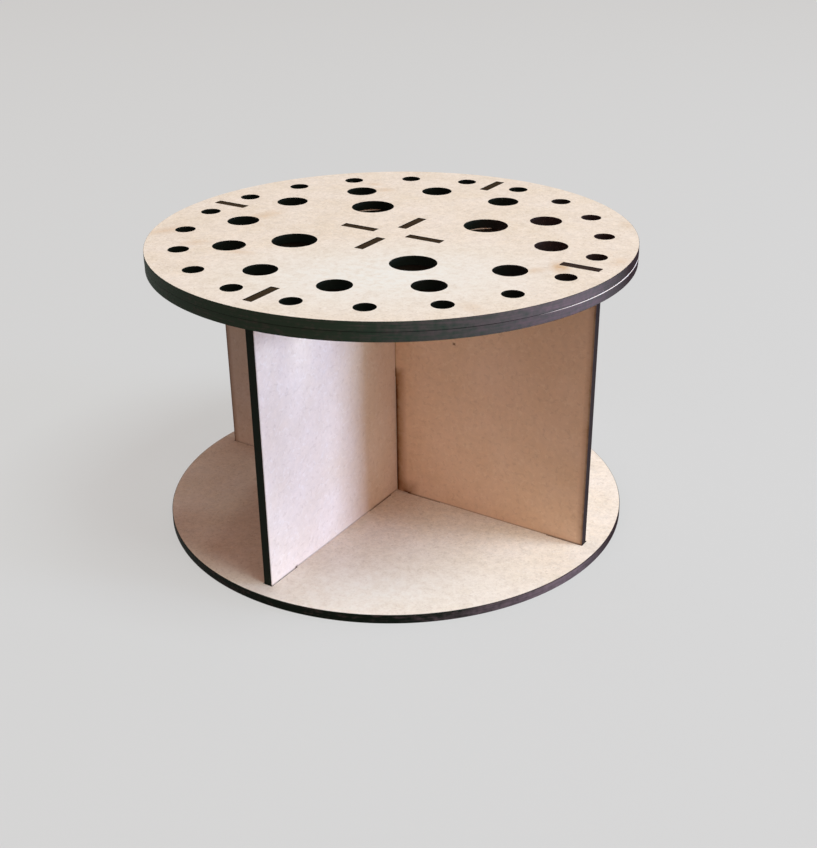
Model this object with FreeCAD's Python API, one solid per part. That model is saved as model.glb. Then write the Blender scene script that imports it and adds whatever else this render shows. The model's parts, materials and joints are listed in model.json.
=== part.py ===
import FreeCAD, Part
import math
import os

# A round stand for slim tools, cut from flat sheet: a perforated double top on two crossed dividers
# and a plain base. The origin is the centre of the base's underside, with +Z up.

# Sheet, and the play left on each side of anything that sits in a slot
SHEET_THICKNESS = 3.0
SLOT_CLEARANCE = 0.1

# Discs
DISC_DIAMETER = 160.0
CLEAR_HEIGHT = 89.0

# Tool holes: three rings stepping in from the rim, spaced evenly over the bays between the dividers
SMALL_HOLE_DIAMETER = 7.0
SMALL_HOLES_PER_BAY = 5
RIM_TO_SMALL_RING = 11.0
MEDIUM_HOLE_DIAMETER = 11.0
MEDIUM_HOLES_PER_BAY = 3
SMALL_TO_MEDIUM_RING = 16.0
LARGE_HOLE_DIAMETER = 15.0
LARGE_HOLES_PER_BAY = 1
MEDIUM_TO_LARGE_RING = 21.0

# Dividers and the tabs on their upper and lower edges
RIM_TO_DIVIDER = 5.75
TAB_LENGTH = 12.8
AXIS_TO_INNER_TAB = 6.3

# The two crossed dividers part the stand into four bays
BAY_COUNT = 4
BAY_ANGLE = 360.0 / BAY_COUNT

# Radii and heights that follow
DISC_RADIUS = DISC_DIAMETER / 2
SMALL_RING_RADIUS = DISC_RADIUS - RIM_TO_SMALL_RING
MEDIUM_RING_RADIUS = SMALL_RING_RADIUS - SMALL_TO_MEDIUM_RING
LARGE_RING_RADIUS = MEDIUM_RING_RADIUS - MEDIUM_TO_LARGE_RING
DIVIDER_REACH = DISC_RADIUS - RIM_TO_DIVIDER
TAB_STARTS = (AXIS_TO_INNER_TAB, DIVIDER_REACH - TAB_LENGTH)
SLOT_LENGTH = TAB_LENGTH + 2 * SLOT_CLEARANCE
SLOT_WIDTH = SHEET_THICKNESS + 2 * SLOT_CLEARANCE
BASE_TOP = SHEET_THICKNESS
DIVIDER_TOP = BASE_TOP + CLEAR_HEIGHT
BACKING_TOP = DIVIDER_TOP + SHEET_THICKNESS
STAND_TOP = BACKING_TOP + SHEET_THICKNESS
LAP_HEIGHT = BASE_TOP + CLEAR_HEIGHT / 2

UP = FreeCAD.Vector(0, 0, 1)
CENTRE = FreeCAD.Vector(0, 0, 0)


def plain_disc(underside):
    """A full disc of sheet with its underside at this height."""
    return Part.makeCylinder(DISC_RADIUS, SHEET_THICKNESS, FreeCAD.Vector(0, 0, underside))


def tab_slots(underside):
    """A slot through one layer for every divider tab: an inner and an outer one on each of the four arms."""
    slots = []
    for arm in range(BAY_COUNT):
        for start in TAB_STARTS:
            corner = FreeCAD.Vector(start - SLOT_CLEARANCE, -SLOT_WIDTH / 2, underside)
            slot = Part.makeBox(SLOT_LENGTH, SLOT_WIDTH, SHEET_THICKNESS, corner)
            slot.rotate(CENTRE, UP, arm * BAY_ANGLE)
            slots.append(slot)
    return slots


def hole_ring(diameter, ring_radius, holes_per_bay, underside):
    """One ring of round holes, with half a step between a divider and the hole beside it."""
    holes = []
    count = BAY_COUNT * holes_per_bay
    for i in range(count):
        angle = math.radians((i + 0.5) * 360.0 / count)
        place = FreeCAD.Vector(ring_radius * math.cos(angle), ring_radius * math.sin(angle), underside)
        holes.append(Part.makeCylinder(diameter / 2, SHEET_THICKNESS, place))
    return holes


def perforated_disc(underside):
    """A disc with the tool holes and the tab slots cut through it."""
    cuts = tab_slots(underside)
    cuts += hole_ring(SMALL_HOLE_DIAMETER, SMALL_RING_RADIUS, SMALL_HOLES_PER_BAY, underside)
    cuts += hole_ring(MEDIUM_HOLE_DIAMETER, MEDIUM_RING_RADIUS, MEDIUM_HOLES_PER_BAY, underside)
    cuts += hole_ring(LARGE_HOLE_DIAMETER, LARGE_RING_RADIUS, LARGE_HOLES_PER_BAY, underside)
    return plain_disc(underside).cut(cuts).Solids[0]


def base_disc():
    """The disc that the stand rests on, with slots for the lower tabs only."""
    return plain_disc(0.0).cut(tab_slots(0.0)).Solids[0]


def divider_tabs():
    """Blocks that carry a divider down to the base's underside and up to the top disc's face."""
    tabs = []
    for start in TAB_STARTS:
        for left in (start, -start - TAB_LENGTH):
            corner = FreeCAD.Vector(left, -SHEET_THICKNESS / 2, 0.0)
            tabs.append(Part.makeBox(TAB_LENGTH, SHEET_THICKNESS, STAND_TOP, corner))
    return tabs


def divider(lap_from, lap_to):
    """An upright panel along X with its tabs, and a half-lap slot between two heights."""
    left_end = FreeCAD.Vector(-DIVIDER_REACH, -SHEET_THICKNESS / 2, BASE_TOP)
    panel = Part.makeBox(2 * DIVIDER_REACH, SHEET_THICKNESS, CLEAR_HEIGHT, left_end)
    lap_corner = FreeCAD.Vector(-SLOT_WIDTH / 2, -SHEET_THICKNESS / 2, lap_from)
    lap = Part.makeBox(SLOT_WIDTH, SHEET_THICKNESS, lap_to - lap_from, lap_corner)
    return panel.fuse(divider_tabs()).removeSplitter().cut(lap).Solids[0]


def divider_slot_down():
    """The divider along X: its lap slot opens at the lower edge."""
    return divider(BASE_TOP, LAP_HEIGHT)


def divider_slot_up():
    """The divider along Y: its lap slot opens at the upper edge."""
    crossing = divider(LAP_HEIGHT, DIVIDER_TOP)
    crossing.rotate(CENTRE, UP, BAY_ANGLE)
    return crossing


PIECES = {
    "base_disc": base_disc(),
    "divider_slot_down": divider_slot_down(),
    "divider_slot_up": divider_slot_up(),
    "backing_disc": perforated_disc(DIVIDER_TOP),
    "top_disc": perforated_disc(BACKING_TOP),
}

os.makedirs("parts", exist_ok=True)
for name, shape in PIECES.items():
    shape.exportStep(f"parts/{name}.step")
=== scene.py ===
import json
import math

import bpy
from mathutils import Matrix, Vector


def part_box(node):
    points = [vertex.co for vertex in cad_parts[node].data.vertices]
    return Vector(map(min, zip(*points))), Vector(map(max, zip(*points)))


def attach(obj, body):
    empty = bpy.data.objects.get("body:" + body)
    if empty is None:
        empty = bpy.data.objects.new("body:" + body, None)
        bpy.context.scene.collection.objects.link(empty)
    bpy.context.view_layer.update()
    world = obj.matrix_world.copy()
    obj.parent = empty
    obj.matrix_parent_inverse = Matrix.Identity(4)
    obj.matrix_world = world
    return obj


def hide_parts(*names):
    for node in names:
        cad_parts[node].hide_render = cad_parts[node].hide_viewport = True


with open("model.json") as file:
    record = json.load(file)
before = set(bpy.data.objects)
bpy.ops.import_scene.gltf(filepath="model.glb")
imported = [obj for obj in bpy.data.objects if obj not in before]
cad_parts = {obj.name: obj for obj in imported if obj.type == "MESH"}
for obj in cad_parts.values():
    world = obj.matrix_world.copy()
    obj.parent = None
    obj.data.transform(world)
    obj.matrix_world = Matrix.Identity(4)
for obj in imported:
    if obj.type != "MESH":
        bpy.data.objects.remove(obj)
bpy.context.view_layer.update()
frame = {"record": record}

# A round tool stand of laser-cut raw MDF: two perforated discs glued one on the other, two crossed
# dividers whose tabs pass through the discs, and a plain base. Lengths are metres, in the frame's axes.
MM = 0.001

# Sizes that the frame gives
TOP_LOW, TOP_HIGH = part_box("top_disc")
BASE_LOW, BASE_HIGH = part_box("base_disc")
HOLES = [mount for mount in frame["record"]["mounts"] if mount["kind"] == "bore"]
WIDE_HOLE = max(HOLES, key=lambda hole: hole["dims"]["r_mm"])
WIDE_HOLE_RADIUS = WIDE_HOLE["dims"]["r_mm"] * MM
WIDE_HOLE_RING = Vector(WIDE_HOLE["pos_m"]).xy.length
SHEET = TOP_HIGH.z - TOP_LOW.z
DISC_RADIUS = TOP_HIGH.x
AXIS = Vector((0, 0, 0))
DIVIDER_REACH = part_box("divider_slot_down")[1].x
DIVIDER_TOP = TOP_LOW.z - SHEET
LAP_HEIGHT = (BASE_HIGH.z + DIVIDER_TOP) / 2

# Tabs, and the play around what sits in a slot
TAB_LENGTH = 12.8 * MM
AXIS_TO_INNER_TAB = 6.3 * MM
SLOT_CLEARANCE = 0.1 * MM
TAB_STARTS = (AXIS_TO_INNER_TAB, DIVIDER_REACH - TAB_LENGTH)
ARM_COUNT = 4

# What the laser and the glueing leave: a kerf wider where the beam enters, a burnt rounding along every
# edge, a little play in the laps, and tab ends a hair below the face
KERF_TAPER = 0.08 * MM
FACE_EASE = 0.18 * MM
BACKING_EASE = 0.1 * MM
PANEL_EASE = 0.06 * MM
LAP_PLAY = 0.05 * MM
TAB_RECESS = 0.12 * MM


def sideways(distance, degrees):
    """A level move by a distance in a direction counted from +X towards +Y."""
    angle = math.radians(degrees)
    return Vector((math.cos(angle), math.sin(angle), 0)) * distance


# Mesh fineness, how far a cutter runs past what it cuts, and how nearly a normal must point up or down
RIM_SIDES = 360
HOLE_SIDES = 72
EASE_STEPS = 2
CUTTER_OVERRUN = 1.0 * MM
SHARP_EDGE = math.radians(40)
SMOOTH_BELOW = math.radians(15)
UP_OR_DOWN = 0.9


def clear_selection():
    """Nothing selected, so that the next operator acts only on what it adds."""
    bpy.ops.object.select_all(action="DESELECT")


def make_active(piece):
    """Selects one piece alone, for the operators that follow."""
    clear_selection()
    piece.select_set(True)
    bpy.context.view_layer.objects.active = piece


def settle(name):
    """Names the piece just added and moves its place, turn and scale into its mesh."""
    piece = bpy.context.object
    piece.name = name
    piece.data.name = name
    bpy.ops.object.transform_apply(location=True, rotation=True, scale=True)
    return piece


def tapered_round(name, radius_low, radius_high, low, high, centre, sides):
    """A round bar along Z between two heights, with its own radius at each end."""
    clear_selection()
    bpy.ops.mesh.primitive_cone_add(
        vertices=sides,
        radius1=radius_low,
        radius2=radius_high,
        depth=high - low,
        end_fill_type="NGON",
        location=(centre.x, centre.y, (low + high) / 2),
    )
    return settle(name)


def block(name, low, high):
    """A box between two corners."""
    clear_selection()
    bpy.ops.mesh.primitive_cube_add(size=1, location=(low + high) / 2, scale=high - low)
    return settle(name)


def cut_away(piece, cutters):
    """Takes the cutters' shapes out of a piece and removes them."""
    make_active(cutters[0])
    if len(cutters) > 1:
        for cutter in cutters:
            cutter.select_set(True)
        bpy.ops.object.join()
    tool = bpy.context.object
    cut = piece.modifiers.new("cut", "BOOLEAN")
    cut.operation = "DIFFERENCE"
    cut.solver = "EXACT"
    cut.object = tool
    make_active(piece)
    bpy.ops.object.modifier_apply(modifier=cut.name)
    bpy.data.objects.remove(tool)


def ease_edges(piece, width):
    """Rounds every sharp edge as the burn does, and smooths only the walls that are round."""
    ease = piece.modifiers.new("ease", "BEVEL")
    ease.width = width
    ease.segments = EASE_STEPS
    ease.limit_method = "ANGLE"
    ease.angle_limit = SHARP_EDGE
    make_active(piece)
    bpy.ops.object.modifier_apply(modifier=ease.name)
    bpy.ops.object.shade_smooth_by_angle(angle=SMOOTH_BELOW)


def slot_cutters(low, high):
    """Boxes through one layer for the inner and outer tab of each divider arm."""
    cutters = []
    side = SHEET / 2 + SLOT_CLEARANCE
    for arm in range(ARM_COUNT):
        for start in TAB_STARTS:
            near = Vector((start - SLOT_CLEARANCE, -side, low - CUTTER_OVERRUN))
            far = Vector((start + TAB_LENGTH + SLOT_CLEARANCE, side, high + CUTTER_OVERRUN))
            cutter = block("slot_cutter", near, far)
            cutter.data.transform(Matrix.Rotation(arm * math.tau / ARM_COUNT, 4, "Z"))
            cutters.append(cutter)
    return cutters


def hole_cutters(low, high, ease):
    """Tapered bars through one layer, which leave each hole's rounded mouth with its own radius."""
    cutters = []
    overrun_taper = KERF_TAPER * CUTTER_OVERRUN / (high - low)
    for hole in HOLES:
        mouth = hole["dims"]["r_mm"] * MM - ease
        cutters.append(
            tapered_round(
                "hole_cutter",
                mouth - KERF_TAPER - overrun_taper,
                mouth + overrun_taper,
                low - CUTTER_OVERRUN,
                high + CUTTER_OVERRUN,
                Vector(hole["pos_m"]),
                HOLE_SIDES,
            )
        )
    return cutters


def cut_disc(name, node, ease, perforated):
    """One disc of sheet where its node is, with its tab slots and, if it has them, its tool holes."""
    low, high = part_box(node)
    disc = tapered_round(
        name, DISC_RADIUS, DISC_RADIUS - KERF_TAPER, low.z, high.z, AXIS, RIM_SIDES
    )
    cutters = slot_cutters(low.z, high.z)
    if perforated:
        cutters += hole_cutters(low.z, high.z, ease)
    cut_away(disc, cutters)
    ease_edges(disc, ease)
    return disc


def select_faces(piece, wanted):
    """In edit mode, selects only the faces that pass a test of their middle and normal."""
    bpy.ops.mesh.select_mode(type="FACE")
    bpy.ops.object.mode_set(mode="OBJECT")
    for part in (piece.data.vertices, piece.data.edges, piece.data.polygons):
        part.foreach_set("select", [False] * len(part))
    for face in piece.data.polygons:
        face.select = wanted(face.center, face.normal)
    bpy.ops.object.mode_set(mode="EDIT")


def in_tab(x):
    """Whether a distance along a divider lies in one of its tabs."""
    return any(start < abs(x) < start + TAB_LENGTH for start in TAB_STARTS)


def draw_out_tabs(panel):
    """Draws tabs out of a panel's edges, up through both top layers and down through the base."""
    inner, outer = TAB_STARTS
    bpy.ops.object.mode_set(mode="EDIT")
    for side in (-1, 1):
        for edge in (inner, inner + TAB_LENGTH, outer):
            bpy.ops.mesh.select_all(action="SELECT")
            bpy.ops.mesh.bisect(plane_co=(side * edge, 0, 0), plane_no=(1, 0, 0))
    for way, reach in ((1, 2 * SHEET - TAB_RECESS), (-1, SHEET - TAB_RECESS)):
        select_faces(panel, lambda middle, normal: normal.z * way > UP_OR_DOWN and in_tab(middle.x))
        bpy.ops.mesh.extrude_region_move(TRANSFORM_OT_translate={"value": (0, 0, way * reach)})
    bpy.ops.object.mode_set(mode="OBJECT")


def cut_divider(name, lap_low, lap_high, turn):
    """An upright panel with its tabs and a half-lap slot in its middle, turned into its place."""
    half = SHEET / 2
    panel = block(
        name,
        Vector((-DIVIDER_REACH, -half, BASE_HIGH.z)),
        Vector((DIVIDER_REACH, half, DIVIDER_TOP)),
    )
    draw_out_tabs(panel)
    slot_half = half + LAP_PLAY
    lap = block(
        "lap_cutter",
        Vector((-slot_half, -half - CUTTER_OVERRUN, lap_low)),
        Vector((slot_half, half + CUTTER_OVERRUN, lap_high)),
    )
    cut_away(panel, [lap])
    panel.data.transform(Matrix.Rotation(turn, 4, "Z"))
    ease_edges(panel, PANEL_EASE)
    return panel


def linear(hex_colour):
    """An sRGB hex colour as the linear colour that a shader takes."""
    channels = [int(hex_colour[i : i + 2], 16) / 255 for i in (1, 3, 5)]
    return [c / 12.92 if c <= 0.04045 else ((c + 0.055) / 1.055) ** 2.4 for c in channels] + [1.0]


def add(tree, kind, out, inputs=None, **settings):
    """Adds a node with its settings and gives back one output. Inputs are values, or sockets to link."""
    node = tree.nodes.new("ShaderNode" + kind)
    for name, value in settings.items():
        setattr(node, name, value)
    for socket, value in (inputs or {}).items():
        if isinstance(value, bpy.types.NodeSocket):
            tree.links.new(value, node.inputs[socket])
        else:
            node.inputs[socket].default_value = value
    return node.outputs[out] if node.outputs else None


# Sockets of a colour Mix node, which has several of the same name
UNDER, OVER, MIXED = 6, 7, 2


def new_material(name):
    """An empty material and its node tree."""
    material = bpy.data.materials.new(name)
    material.use_nodes = True
    material.node_tree.nodes.clear()
    return material, material.node_tree


# Raw MDF: pressed wood fibre, sanded at the mill and left unfinished. The eye sees a matt cream sheet,
# softly clouded, with a fine felt of short curled hairs, and brown laser smoke in a few places. The hairs
# are drawn several times as coarse as real ones, so that they show.
MDF_CREAM = "#EBDFD2"
MDF_BUFF = "#E6D8C6"
MDF_DARK_HAIR = "#B09A84"
MDF_PALE_HAIR = "#F8F3EB"
# A pale patch over the front of the top and the base is painted light, where those faces are lit whiter
# and cooler
PAINTED_PALE_LIGHT = "#ECEBE5"
SMOKE_TAN = "#C79C66"
# A warm tint multiplied over one half of the divider along X is painted shade, the warm shade of the bay
PAINTED_WARM_SHADE = "#FFECD6"
SINGE_BROWN = "#8A5E32"
SCORCH_BROWN = "#5A3A20"
MDF_ROUGHNESS = 0.88
MDF_IOR = 1.4
MDF_GLOSS = 0.3
# Sizes of the patterns
CLOUD_MM = 16.0
GRAIN_MM = 2.2
HAIR_CURL_MM = 1.2
HAIR_PATCH_MM = 0.9
BREAKUP_CLOUD_MM = 2.2
# The band of a noise, whose middle is one half, that each pattern is spread over, and how far from the
# middle a hair fades out
NOISE_MIDDLE = 0.5
CLOUD_LEAST, CLOUD_MOST = 0.32, 0.68
GRAIN_LEAST, GRAIN_MOST = 0.3, 0.7
BREAKUP_LEAST, BREAKUP_MOST = 0.3, 0.7
PATCH_LEAST, PATCH_MOST = 0.52, 0.64
HAIR_EDGE = 0.07
# The thinnest share that the cloud leaves of a soft stain, of a patch of painted light and of a burn
SPOT_THINNEST = 0.4
BURN_THINNEST = 0.7
# How far the sanded grain lightens and darkens each sheet, and how it stands up
DISC_GRAIN = 0.12
DIVIDER_GRAIN = 0.05
GRAIN_BUMP = 0.4
GRAIN_HEIGHT = 0.15 * MM
# A sheet's hairs are (size, depth of the dark ones, depth of the pale ones), and each tone has its own
# start in the noise, so that the two don't lie on each other
DISC_HAIRS = (1.0, 0.32, 0.4)
DIVIDER_HAIRS = (1.9, 0.2, 0.34)
DARK_HAIR_START_MM = 0.0
PALE_HAIR_START_MM = 40.0


def mill_tone(tree, flat):
    """The clouded tone of the pressed sheet, between its two tones."""
    cloud = add(
        tree, "TexNoise", "Fac", {"Vector": flat, "Scale": 1 / CLOUD_MM, "Detail": 3.0, "Roughness": 0.6}
    )
    amount = add(
        tree, "MapRange", "Result", {"Value": cloud, "From Min": CLOUD_LEAST, "From Max": CLOUD_MOST}
    )
    return add(
        tree,
        "Mix",
        MIXED,
        {"Factor": amount, UNDER: linear(MDF_CREAM), OVER: linear(MDF_BUFF)},
        data_type="RGBA",
    )


def sanded_grain(tree, flat, colour, depth):
    """The fine uneven grain that sanding leaves: the toned colour, and the grain itself for the bump."""
    grain = add(
        tree, "TexNoise", "Fac", {"Vector": flat, "Scale": 1 / GRAIN_MM, "Detail": 4.0, "Roughness": 0.8}
    )
    tone = add(
        tree,
        "MapRange",
        "Result",
        {
            "Value": grain,
            "From Min": GRAIN_LEAST,
            "From Max": GRAIN_MOST,
            "To Min": 1 - depth,
            "To Max": 1 + depth,
        },
    )
    return add(tree, "VectorMath", "Vector", {0: colour, "Scale": tone}, operation="SCALE"), grain


def curled_hairs(tree, flat, colour, hair, size, start, depth):
    """Short curled hairs of one tone: thin level lines of a noise, kept only in scattered patches."""
    moved = add(tree, "Mapping", "Vector", {"Vector": flat, "Location": (start, start, start)})
    wave = add(
        tree, "TexNoise", "Fac", {"Vector": moved, "Scale": 1 / (HAIR_CURL_MM * size), "Detail": 1.0}
    )
    off = add(tree, "Math", "Value", {0: wave, 1: NOISE_MIDDLE}, operation="SUBTRACT")
    off = add(tree, "Math", "Value", {0: off}, operation="ABSOLUTE")
    line = add(tree, "MapRange", "Result", {"Value": off, "From Min": HAIR_EDGE, "From Max": 0.0})
    patch = add(
        tree, "TexNoise", "Fac", {"Vector": moved, "Scale": 1 / (HAIR_PATCH_MM * size), "Detail": 0.0}
    )
    kept = add(
        tree,
        "MapRange",
        "Result",
        {"Value": patch, "From Min": PATCH_LEAST, "From Max": PATCH_MOST, "To Max": depth},
    )
    amount = add(tree, "Math", "Value", {0: line, 1: kept}, operation="MULTIPLY")
    return add(
        tree, "Mix", MIXED, {"Factor": amount, UNDER: colour, OVER: linear(hair)}, data_type="RGBA"
    )


def breakup_cloud(tree, flat, thinnest):
    """The small cloud that breaks up every stain, burn and patch of painted light, down to its thinnest
    share.
    """
    cloud = add(
        tree, "TexNoise", "Fac", {"Vector": flat, "Scale": 1 / BREAKUP_CLOUD_MM, "Detail": 3.0}
    )
    return add(
        tree,
        "MapRange",
        "Result",
        {"Value": cloud, "From Min": BREAKUP_LEAST, "From Max": BREAKUP_MOST, "To Min": thinnest},
    )


def mark_place(tree, flat, x, y, length, width, turn):
    """Coordinates in which a mark's outline is one unit from its middle."""
    return add(
        tree,
        "Mapping",
        "Vector",
        {
            "Vector": flat,
            "Location": (x, y, 0),
            "Rotation": (0, 0, math.radians(turn)),
            "Scale": (length, width, 1 / MM),
        },
        vector_type="TEXTURE",
    )


def round_stains_and_painted_light(tree, flat, colour, tone, stains):
    """Soft round spots of one tone, for smoke stains and for painted light, each (x, y, length, width,
    turn, depth).
    """
    cloud = breakup_cloud(tree, flat, SPOT_THINNEST)
    for x, y, length, width, turn, depth in stains:
        spot = mark_place(tree, flat, x, y, length, width, turn)
        fade = add(tree, "TexGradient", "Fac", {"Vector": spot}, gradient_type="SPHERICAL")
        broken = add(tree, "Math", "Value", {0: fade, 1: cloud}, operation="MULTIPLY")
        amount = add(
            tree, "Math", "Value", {0: broken, 1: depth}, operation="MULTIPLY", use_clamp=True
        )
        colour = add(
            tree, "Mix", MIXED, {"Factor": amount, UNDER: colour, OVER: linear(tone)}, data_type="RGBA"
        )
    return colour


def wide_painted_shade(tree, flat, colour, tone, stains):
    """Broad even painted shade, multiplied so that the board's grain shows through, each (x, y, length,
    width, turn, depth).
    """
    for x, y, length, width, turn, depth in stains:
        spot = mark_place(tree, flat, x, y, length, width, turn)
        fade = add(tree, "TexGradient", "Fac", {"Vector": spot}, gradient_type="SPHERICAL")
        amount = add(tree, "Math", "Value", {0: fade, 1: depth}, operation="MULTIPLY", use_clamp=True)
        colour = add(
            tree,
            "Mix",
            MIXED,
            {"Factor": amount, UNDER: colour, OVER: linear(tone)},
            data_type="RGBA",
            blend_type="MULTIPLY",
        )
    return colour


def burnt_lines(tree, flat, colour, tone, lines):
    """Burns along a cut edge that fade to both sides, each (x, y, length, width, turn, depth)."""
    cloud = breakup_cloud(tree, flat, BURN_THINNEST)
    for x, y, length, width, turn, depth in lines:
        along = mark_place(tree, flat, x, y, length, width, turn)
        away = add(tree, "VectorMath", "Vector", {0: along}, operation="ABSOLUTE")
        slimness = length / width
        inside = add(
            tree,
            "VectorMath",
            "Vector",
            {0: away, 1: (-slimness, -1, 0), 2: (slimness, 1, 0)},
            operation="MULTIPLY_ADD",
        )
        from_end = add(tree, "SeparateXYZ", "X", {"Vector": inside})
        from_side = from_end.node.outputs["Y"]
        fade = add(
            tree, "Math", "Value", {0: from_end, 1: from_side}, operation="MINIMUM", use_clamp=True
        )
        broken = add(tree, "Math", "Value", {0: fade, 1: cloud}, operation="MULTIPLY")
        amount = add(
            tree, "Math", "Value", {0: broken, 1: depth}, operation="MULTIPLY", use_clamp=True
        )
        colour = add(
            tree, "Mix", MIXED, {"Factor": amount, UNDER: colour, OVER: linear(tone)}, data_type="RGBA"
        )
    return colour


def raw_mdf(name, flat_turn, grain_depth, hairs, marks):
    """A sheet's face. The turn lays it flat, and each mark is a way to paint, a tone and its places."""
    material, tree = new_material(name)
    place = add(tree, "TexCoord", "Object")
    flat = add(
        tree, "Mapping", "Vector", {"Vector": place, "Rotation": flat_turn, "Scale": (1 / MM,) * 3}
    )
    colour = mill_tone(tree, flat)
    colour, grain = sanded_grain(tree, flat, colour, grain_depth)
    hair_size, dark_depth, pale_depth = hairs
    for hair, start, depth in (
        (MDF_DARK_HAIR, DARK_HAIR_START_MM, dark_depth),
        (MDF_PALE_HAIR, PALE_HAIR_START_MM, pale_depth),
    ):
        colour = curled_hairs(tree, flat, colour, hair, hair_size, start, depth)
    for paint, tone, places in marks:
        colour = paint(tree, flat, colour, tone, places)
    bump = add(
        tree, "Bump", "Normal", {"Height": grain, "Strength": GRAIN_BUMP, "Distance": GRAIN_HEIGHT}
    )
    surface = add(
        tree,
        "BsdfPrincipled",
        "BSDF",
        {
            "Base Color": colour,
            "Roughness": MDF_ROUGHNESS,
            "IOR": MDF_IOR,
            "Specular IOR Level": MDF_GLOSS,
            "Normal": bump,
        },
    )
    add(tree, "OutputMaterial", None, {"Surface": surface})
    return material


# Laser-charred edge: MDF burnt through by the beam. The eye sees a wall near black with a dull sheen,
# faintly streaked along the sheet by its pressed layers. A purple-brown patch on the rim's right front is
# a painted highlight, the low window's reflection, and a dull dark brown beside it is painted shade, both
# thinning out around their places. A pale line is painted along a stretch of the seam.
CHAR_IOR = 1.5
CHAR_MOTTLE_MM = 1.6
LAYER_MM = 0.5
LAYER_LENGTH_MM = 9.0
RELIEF_BUMP = 0.3
RELIEF_HEIGHT = 0.1 * MM
# The relief is the sum of two noises, and the band of it that makes the painted highlight uneven lies
# about 1
RELIEF_LEAST, RELIEF_MOST = 0.75, 1.25
PAINTED_HIGHLIGHT_UNEVENNESS = 0.2
# The purple-brown patch round this place on the rim's right front is a painted highlight, the low window's
# reflection
PAINTED_HIGHLIGHT_PLACE = sideways(DISC_RADIUS, -17)
PAINTED_HIGHLIGHT_DEPTH = 0.8
# A dull dark brown to the right of the painted highlight is painted shade, and it takes the rim's sheen
# away there
PAINTED_SHADE_BROWN = "#352A29"
PAINTED_SHADE_PLACE = sideways(DISC_RADIUS, 30)
PAINTED_SHADE_REACH_MM = 56.0
PAINTED_SHADE_DEPTH = 2.4
# The painted highlight and the painted shade fade along a wall and hardly up it, as this height in metres
# is far above the stand's
WALL_PATCH_HEIGHT = 1.0
PALE_SEAM_TONE = "#F4E6D4"
PALE_SEAM_EDGE = 0.12
# Where a pale line is painted along the seam, each (middle, reach, width): a stretch of the rim, and the
# walls of two wide holes
RIM_PALE_SEAM = (
    (sideways(DISC_RADIUS, 8), 50 * MM, 0.46 * MM),
    (sideways(DISC_RADIUS, 21), 18 * MM, 0.65 * MM),
)
HOLE_PALE_SEAM = (
    (sideways(WIDE_HOLE_RING, 135) + sideways(WIDE_HOLE_RADIUS, 135), 4.4 * MM, 0.55 * MM),
    (sideways(WIDE_HOLE_RING, 45) + sideways(WIDE_HOLE_RADIUS, 137), 4.6 * MM, 0.42 * MM),
)


def wall_patch(tree, place, middle, width, height):
    """1 in the middle of a patch on a wall, fading to 0 at its width along the wall and its height."""
    around = add(
        tree,
        "Mapping",
        "Vector",
        {"Vector": place, "Location": middle, "Scale": (width, width, height)},
        vector_type="TEXTURE",
    )
    return add(tree, "TexGradient", "Fac", {"Vector": around}, gradient_type="SPHERICAL")


def pale_seam_lines(tree, place, colour, lines):
    """Pale lines painted along the seam, which narrow to nothing at both ends."""
    for middle, reach, width in lines:
        at_seam = middle + Vector((0, 0, TOP_LOW.z))
        fade = wall_patch(tree, place, at_seam, reach, width)
        amount = add(tree, "MapRange", "Result", {"Value": fade, "From Max": PALE_SEAM_EDGE})
        colour = add(
            tree,
            "Mix",
            MIXED,
            {"Factor": amount, UNDER: colour, OVER: linear(PALE_SEAM_TONE)},
            data_type="RGBA",
        )
    return colour


def cut_relief(tree, place):
    """The fine relief of a laser-cut wall: streaks along the pressed layers, and a mottle."""
    layers = add(
        tree,
        "Mapping",
        "Vector",
        {
            "Vector": place,
            "Scale": [1 / (mm * MM) for mm in (LAYER_LENGTH_MM, LAYER_LENGTH_MM, LAYER_MM)],
        },
    )
    layer = add(tree, "TexNoise", "Fac", {"Vector": layers, "Scale": 1.0, "Detail": 2.0})
    mottle = add(
        tree, "TexNoise", "Fac", {"Vector": place, "Scale": 1 / (CHAR_MOTTLE_MM * MM), "Detail": 3.0}
    )
    return add(tree, "Math", "Value", {0: layer, 1: mottle}, operation="ADD")


def char_with_painted_highlight(tree, place, relief, char, painted_highlight, reach):
    """Char that turns to the painted highlight's tone around its place, as unevenly as the wall's relief.
    """
    patchy = add(
        tree,
        "MapRange",
        "Result",
        {
            "Value": relief,
            "From Min": RELIEF_LEAST,
            "From Max": RELIEF_MOST,
            "To Min": -PAINTED_HIGHLIGHT_UNEVENNESS,
            "To Max": PAINTED_HIGHLIGHT_UNEVENNESS,
        },
        clamp=False,
    )
    highlight_patch = wall_patch(tree, place, PAINTED_HIGHLIGHT_PLACE, reach, WALL_PATCH_HEIGHT)
    amount = add(
        tree,
        "Math",
        "Value",
        {0: highlight_patch, 1: PAINTED_HIGHLIGHT_DEPTH, 2: patchy},
        operation="MULTIPLY_ADD",
        use_clamp=True,
    )
    return add(
        tree, "Mix", MIXED, {"Factor": amount, UNDER: linear(char), OVER: linear(painted_highlight)}, data_type="RGBA"
    )


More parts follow.
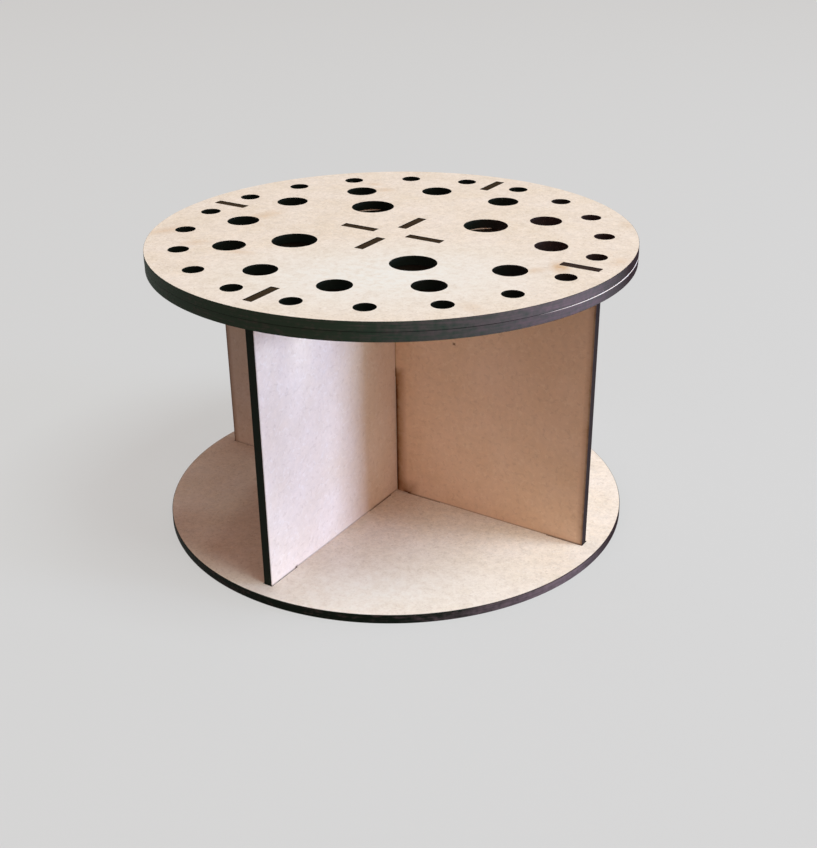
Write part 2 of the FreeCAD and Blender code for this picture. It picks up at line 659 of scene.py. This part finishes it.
def charred_edge(name, char, painted_highlight, painted_highlight_reach_mm, roughness, gloss, pale_seam=()):
    """A laser-cut wall of char with a painted highlight, painted shade that takes its sheen, and any pale
    line painted along the seam.
    """
    material, tree = new_material(name)
    place = add(tree, "TexCoord", "Object")
    relief = cut_relief(tree, place)
    colour = char_with_painted_highlight(tree, place, relief, char, painted_highlight, painted_highlight_reach_mm * MM)
    near = wall_patch(tree, place, PAINTED_SHADE_PLACE, PAINTED_SHADE_REACH_MM * MM, WALL_PATCH_HEIGHT)
    painted_shade = add(tree, "Math", "Value", {0: near, 1: PAINTED_SHADE_DEPTH}, operation="MULTIPLY", use_clamp=True)
    colour = add(
        tree, "Mix", MIXED, {"Factor": painted_shade, UNDER: colour, OVER: linear(PAINTED_SHADE_BROWN)}, data_type="RGBA"
    )
    colour = pale_seam_lines(tree, place, colour, pale_seam)
    # No sheen where the painted shade lies
    shine = add(tree, "Math", "Value", {0: painted_shade, 1: -gloss, 2: gloss}, operation="MULTIPLY_ADD")
    bump = add(
        tree, "Bump", "Normal", {"Height": relief, "Strength": RELIEF_BUMP, "Distance": RELIEF_HEIGHT}
    )
    surface = add(
        tree,
        "BsdfPrincipled",
        "BSDF",
        {
            "Base Color": colour,
            "Roughness": roughness,
            "IOR": CHAR_IOR,
            "Specular IOR Level": shine,
            "Normal": bump,
        },
    )
    add(tree, "OutputMaterial", None, {"Surface": surface})
    return material


# How level a face must be with its sheet to count as the sheet's own surface, and how far from upright
# before it counts as a rounded edge
FLUSH = 0.999
UPRIGHT = 0.2

# The order of the materials on a disc and on a divider
DISC_FACE, DISC_RIM, DISC_ROUNDING, DISC_INSIDE = range(4)
PANEL_FACE, PANEL_EDGE, PANEL_TAB_END = range(3)


def seat(piece, node):
    """Puts a finished piece in its node's place, on the one body there is."""
    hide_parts(node)
    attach(piece, "root")


def finish_disc(disc, node, materials):
    """Raw board on the flats, char on the rim and its rounded edges, and another char inside the holes."""
    for material in materials:
        disc.data.materials.append(material)
    for polygon in disc.data.polygons:
        slope = abs(polygon.normal.z)
        if slope > FLUSH:
            polygon.material_index = DISC_FACE
        elif polygon.center.xy.length < DISC_RADIUS - SHEET:
            polygon.material_index = DISC_INSIDE
        elif slope > UPRIGHT:
            polygon.material_index = DISC_ROUNDING
        else:
            polygon.material_index = DISC_RIM
    seat(disc, node)


def finish_divider(panel, node, thin_axis, materials):
    """Raw board on both sides and their roundings, char on cut edges, a browner char on tab ends."""
    for material in materials:
        panel.data.materials.append(material)
    for polygon in panel.data.polygons:
        height = polygon.center.z
        at_tab_end = height > TOP_LOW.z or height < BASE_HIGH.z / 2
        rounded = max(abs(part) for part in polygon.normal) < FLUSH
        if at_tab_end and (rounded or abs(polygon.normal.z) > FLUSH):
            polygon.material_index = PANEL_TAB_END
        elif rounded or abs(polygon.normal.dot(thin_axis)) > FLUSH:
            polygon.material_index = PANEL_FACE
        else:
            polygon.material_index = PANEL_EDGE
    seat(panel, node)


# Turns that lay each sheet flat for its pattern: a disc as it is, and a divider with its length along X
# and its height along Y
LAY_DISC = (0, 0, 0)
LAY_DIVIDER_X = (math.radians(-90), 0, 0)
LAY_DIVIDER_Y = (math.radians(-90), math.radians(-90), 0)

# Painted light, painted shade, smoke and burns in millimetres and degrees, each (x, y, length, width,
# turn, depth). On the top face: a pale patch of painted light over the front, and smoke beside the right
# outer slot, along the left rim and between the holes.
TOP_PAINTED_LIGHT = ((20, -38, 62, 40, 35, 1.3),)
TOP_SMOKE = (
    (62.5, -3.3, 7.5, 4, -58, 1.0),
    (57.5, -10, 6, 3.5, 55, 0.5),
    (76, 10, 7, 4, 80, 0.4),
    (-66, -35, 10, 5, 63, 0.5),
    (-49, -5, 10, 5, 75, 0.45),
    (-49, -41, 6, 4, 45, 0.4),
    (-30, -41, 7, 3, 10, 0.4),
    (-32, 43, 6, 3.5, 35, 0.5),
    (-39, 48, 4, 3, 15, 0.4),
    (63, 47, 6, 4, 120, 0.3),
    (57, -47, 7, 4, 150, 0.3),
)
# On the base: a pale patch of painted light towards the front
BASE_PAINTED_LIGHT = ((30, -60, 65, 32, 35, 0.8),)
# On the divider along X: a warm painted shade over one half, singes and burns up the lap slot, the outer
# edges and the foot
DIVIDER_X_PAINTED_SHADE = ((45, 48, 110, 110, 0, 1.6),)
DIVIDER_X_SINGES = (
    (1.5, 27, 25, 4.6, 90, 1.1),
    (-1.5, 27, 25, 3.4, 90, 1.0),
    (2, 4, 9, 5, 0, 0.8),
    (74.2, 47, 48, 2.4, 90, 0.6),
    (-74.2, 47, 48, 2.4, 90, 0.6),
)
DIVIDER_X_BURNS = (
    (1.5, 24, 21, 1.2, 90, 1.5),
    (1.5, 27, 24, 0.8, 90, 0.8),
    (1.5, 70, 22, 0.6, 90, 0.6),
    (24.8, 64.5, 0.7, 0.6, 0, 1.2),
    (74.2, 47, 48, 0.7, 90, 0.8),
    (-74.2, 47, 48, 0.7, 90, 0.8),
    (5.8, 3, 1.8, 1.1, 0, 1.3),
    (40, 3, 36, 0.6, 0, 0.6),
)
# On the divider along Y: fainter ones
DIVIDER_Y_BURNS = (
    (74.2, 47, 48, 1.0, 90, 0.6),
    (-74.2, 47, 48, 0.5, 90, 0.5),
    (-32, 3, 30, 0.6, 0, 0.6),
    (-8, 3, 9, 0.8, 0, 0.4),
    (-61.5, 3, 0.9, 0.9, 0, 1.0),
    (-68, 3, 7, 0.5, 0, 0.4),
)

mdf_top = raw_mdf(
    "raw_mdf_top",
    LAY_DISC,
    DISC_GRAIN,
    DISC_HAIRS,
    ((round_stains_and_painted_light, PAINTED_PALE_LIGHT, TOP_PAINTED_LIGHT), (round_stains_and_painted_light, SMOKE_TAN, TOP_SMOKE)),
)
mdf_backing = raw_mdf("raw_mdf_backing", LAY_DISC, DISC_GRAIN, DISC_HAIRS, ())
mdf_base = raw_mdf(
    "raw_mdf_base", LAY_DISC, DISC_GRAIN, DISC_HAIRS, ((round_stains_and_painted_light, PAINTED_PALE_LIGHT, BASE_PAINTED_LIGHT),)
)
mdf_divider_x = raw_mdf(
    "raw_mdf_divider_x",
    LAY_DIVIDER_X,
    DIVIDER_GRAIN,
    DIVIDER_HAIRS,
    (
        (wide_painted_shade, PAINTED_WARM_SHADE, DIVIDER_X_PAINTED_SHADE),
        (burnt_lines, SINGE_BROWN, DIVIDER_X_SINGES),
        (burnt_lines, SCORCH_BROWN, DIVIDER_X_BURNS),
    ),
)
mdf_divider_y = raw_mdf(
    "raw_mdf_divider_y",
    LAY_DIVIDER_Y,
    DIVIDER_GRAIN,
    DIVIDER_HAIRS,
    ((burnt_lines, SCORCH_BROWN, DIVIDER_Y_BURNS),),
)
# The second tone of each char is the tone of its painted highlight
char_rim = charred_edge(
    "laser_charred_rim", "#344639", "#705E60", painted_highlight_reach_mm=68, roughness=0.6, gloss=0.08
)
char_backing_rim = charred_edge(
    "laser_charred_glued_rim",
    "#344639",
    "#6C595C",
    painted_highlight_reach_mm=68,
    roughness=0.6,
    gloss=0.08,
    pale_seam=RIM_PALE_SEAM,
)
char_base_rim = charred_edge(
    "laser_charred_base_rim", "#111B13", "#786667", painted_highlight_reach_mm=52, roughness=0.6, gloss=0.06
)
char_edge = charred_edge(
    "laser_charred_edge", "#1F2922", "#2C1D18", painted_highlight_reach_mm=60, roughness=0.7, gloss=0.08
)
char_hole = charred_edge(
    "laser_charred_hole", "#0D130D", "#14110F", painted_highlight_reach_mm=60, roughness=0.75, gloss=0.08
)
char_hole_below = charred_edge(
    "laser_charred_lower_hole",
    "#1F1912",
    "#261D15",
    painted_highlight_reach_mm=60,
    roughness=0.8,
    gloss=0.05,
    pale_seam=HOLE_PALE_SEAM,
)
char_tab = charred_edge(
    "laser_charred_tab_end", "#372C20", "#4A3E2E", painted_highlight_reach_mm=60, roughness=0.9, gloss=0.02
)

finish_disc(
    cut_disc("perforated_top", "top_disc", FACE_EASE, perforated=True),
    "top_disc",
    (mdf_top, char_rim, char_edge, char_hole),
)
finish_disc(
    cut_disc("glued_backing", "backing_disc", BACKING_EASE, perforated=True),
    "backing_disc",
    (mdf_backing, char_backing_rim, char_edge, char_hole_below),
)
finish_disc(
    cut_disc("plain_base", "base_disc", FACE_EASE, perforated=False),
    "base_disc",
    (mdf_base, char_base_rim, char_edge, char_hole),
)
finish_divider(
    cut_divider("divider_lapped_below", BASE_HIGH.z - CUTTER_OVERRUN, LAP_HEIGHT, turn=0),
    "divider_slot_down",
    Vector((0, 1, 0)),
    (mdf_divider_x, char_edge, char_tab),
)
finish_divider(
    cut_divider("divider_lapped_above", LAP_HEIGHT, DIVIDER_TOP + CUTTER_OVERRUN, turn=math.radians(90)),
    "divider_slot_up",
    Vector((1, 0, 0)),
    (mdf_divider_y, char_edge, char_tab),
)


# Stage: a wide pale floor, soft lamps and the photograph's viewpoint. The floor is a grey matt board that
# glows pale only where it is seen, so that it throws little light back up into the bays.
FLOOR_SIZE = 8.0
FLOOR_BOARD = "#6C6E70"
FLOOR_ROUGHNESS = 1.0
FLOOR_GLOSS = 0.0
BACKDROP = "#EBEAE8"
FLOOR_GLOW = 0.62
BACKDROP_GLOW = 0.70
ROOM_TINT = "#FFD5C8"
ROOM_GLOW = 0.340
# Soft lamps in metres and watts, each (name, place, aim, width, height, watts, colour): daylight from high
# on the right, a low window on the right that lights the panel on the left, and a faint warm fill
SOFT_LAMPS = (
    ("overhead_box", (1.38, 0.265, 3.0), (0, 0, 0.05), 1.5, 1.5, 90.0, "#F2FEFF"),
    ("low_right_window", (1.32, 0.475, 0.17), (0, 0, 0.07), 0.34, 0.26, 20.8, "#C2D6FF"),
    ("front_fill", (0.98, -0.69, 0.25), (0, 0, 0.05), 0.5, 0.4, 1.3, "#FFB38E"),
)
# The viewpoint, with its turn in degrees
CAMERA_PLACE = (0.20973, -0.31697, 0.21457)
CAMERA_TURN = (63.879, 0.642, 32.460)
CAMERA_LENS_MM = 50.89
CAMERA_NEAREST = 0.01


def seen_rays(tree):
    """1 for what is seen straight, in a reflection or through glass, and 0 for light that bounces."""
    straight = add(tree, "LightPath", "Is Camera Ray")
    mirrored = straight.node.outputs["Is Glossy Ray"]
    through = straight.node.outputs["Is Transmission Ray"]
    seen = add(tree, "Math", "Value", {0: straight, 1: mirrored}, operation="MAXIMUM")
    return add(tree, "Math", "Value", {0: seen, 1: through}, operation="MAXIMUM")


def pale_floor():
    """A matt floor under the base that looks pale and still takes the shadow."""
    clear_selection()
    bpy.ops.mesh.primitive_plane_add(size=FLOOR_SIZE, location=(0, 0, BASE_LOW.z))
    floor = settle("floor")
    material, tree = new_material("matt_pale_floor")
    glow = add(tree, "Math", "Value", {0: seen_rays(tree), 1: FLOOR_GLOW}, operation="MULTIPLY")
    surface = add(
        tree,
        "BsdfPrincipled",
        "BSDF",
        {
            "Base Color": linear(FLOOR_BOARD),
            "Roughness": FLOOR_ROUGHNESS,
            "Specular IOR Level": FLOOR_GLOSS,
            "Emission Color": linear(BACKDROP),
            "Emission Strength": glow,
        },
    )
    add(tree, "OutputMaterial", None, {"Surface": surface})
    floor.data.materials.append(material)


def soft_lamp(name, place, aim, width, height, watts, colour):
    """A rectangular soft box at a place, facing a point."""
    data = bpy.data.lights.new(name, "AREA")
    data.shape = "RECTANGLE"
    data.size = width
    data.size_y = height
    data.energy = watts
    data.color = linear(colour)[:3]
    lamp = bpy.data.objects.new(name, data)
    lamp.location = place
    lamp.rotation_euler = (Vector(aim) - Vector(place)).to_track_quat("-Z", "Y").to_euler()
    bpy.context.scene.collection.objects.link(lamp)


def room_light():
    """Dim light from all round, behind a pale backdrop that lights nothing and is only seen."""
    world = bpy.data.worlds.new("room")
    world.use_nodes = True
    tree = world.node_tree
    tree.nodes.clear()
    dim = add(tree, "Background", "Background", {"Color": linear(ROOM_TINT), "Strength": ROOM_GLOW})
    pale = add(
        tree, "Background", "Background", {"Color": linear(BACKDROP), "Strength": BACKDROP_GLOW}
    )
    mixed = add(tree, "MixShader", "Shader", {"Fac": seen_rays(tree), 1: dim, 2: pale})
    add(tree, "OutputWorld", None, {"Surface": mixed})
    bpy.context.scene.world = world


def camera():
    """The photograph's viewpoint."""
    data = bpy.data.cameras.new("camera")
    data.lens = CAMERA_LENS_MM
    data.clip_start = CAMERA_NEAREST
    eye = bpy.data.objects.new("camera", data)
    eye.location = CAMERA_PLACE
    eye.rotation_euler = [math.radians(angle) for angle in CAMERA_TURN]
    bpy.context.scene.collection.objects.link(eye)
    bpy.context.scene.camera = eye


pale_floor()
room_light()
for lamp in SOFT_LAMPS:
    soft_lamp(*lamp)
camera()
bpy.context.scene.view_settings.view_transform = "Standard"
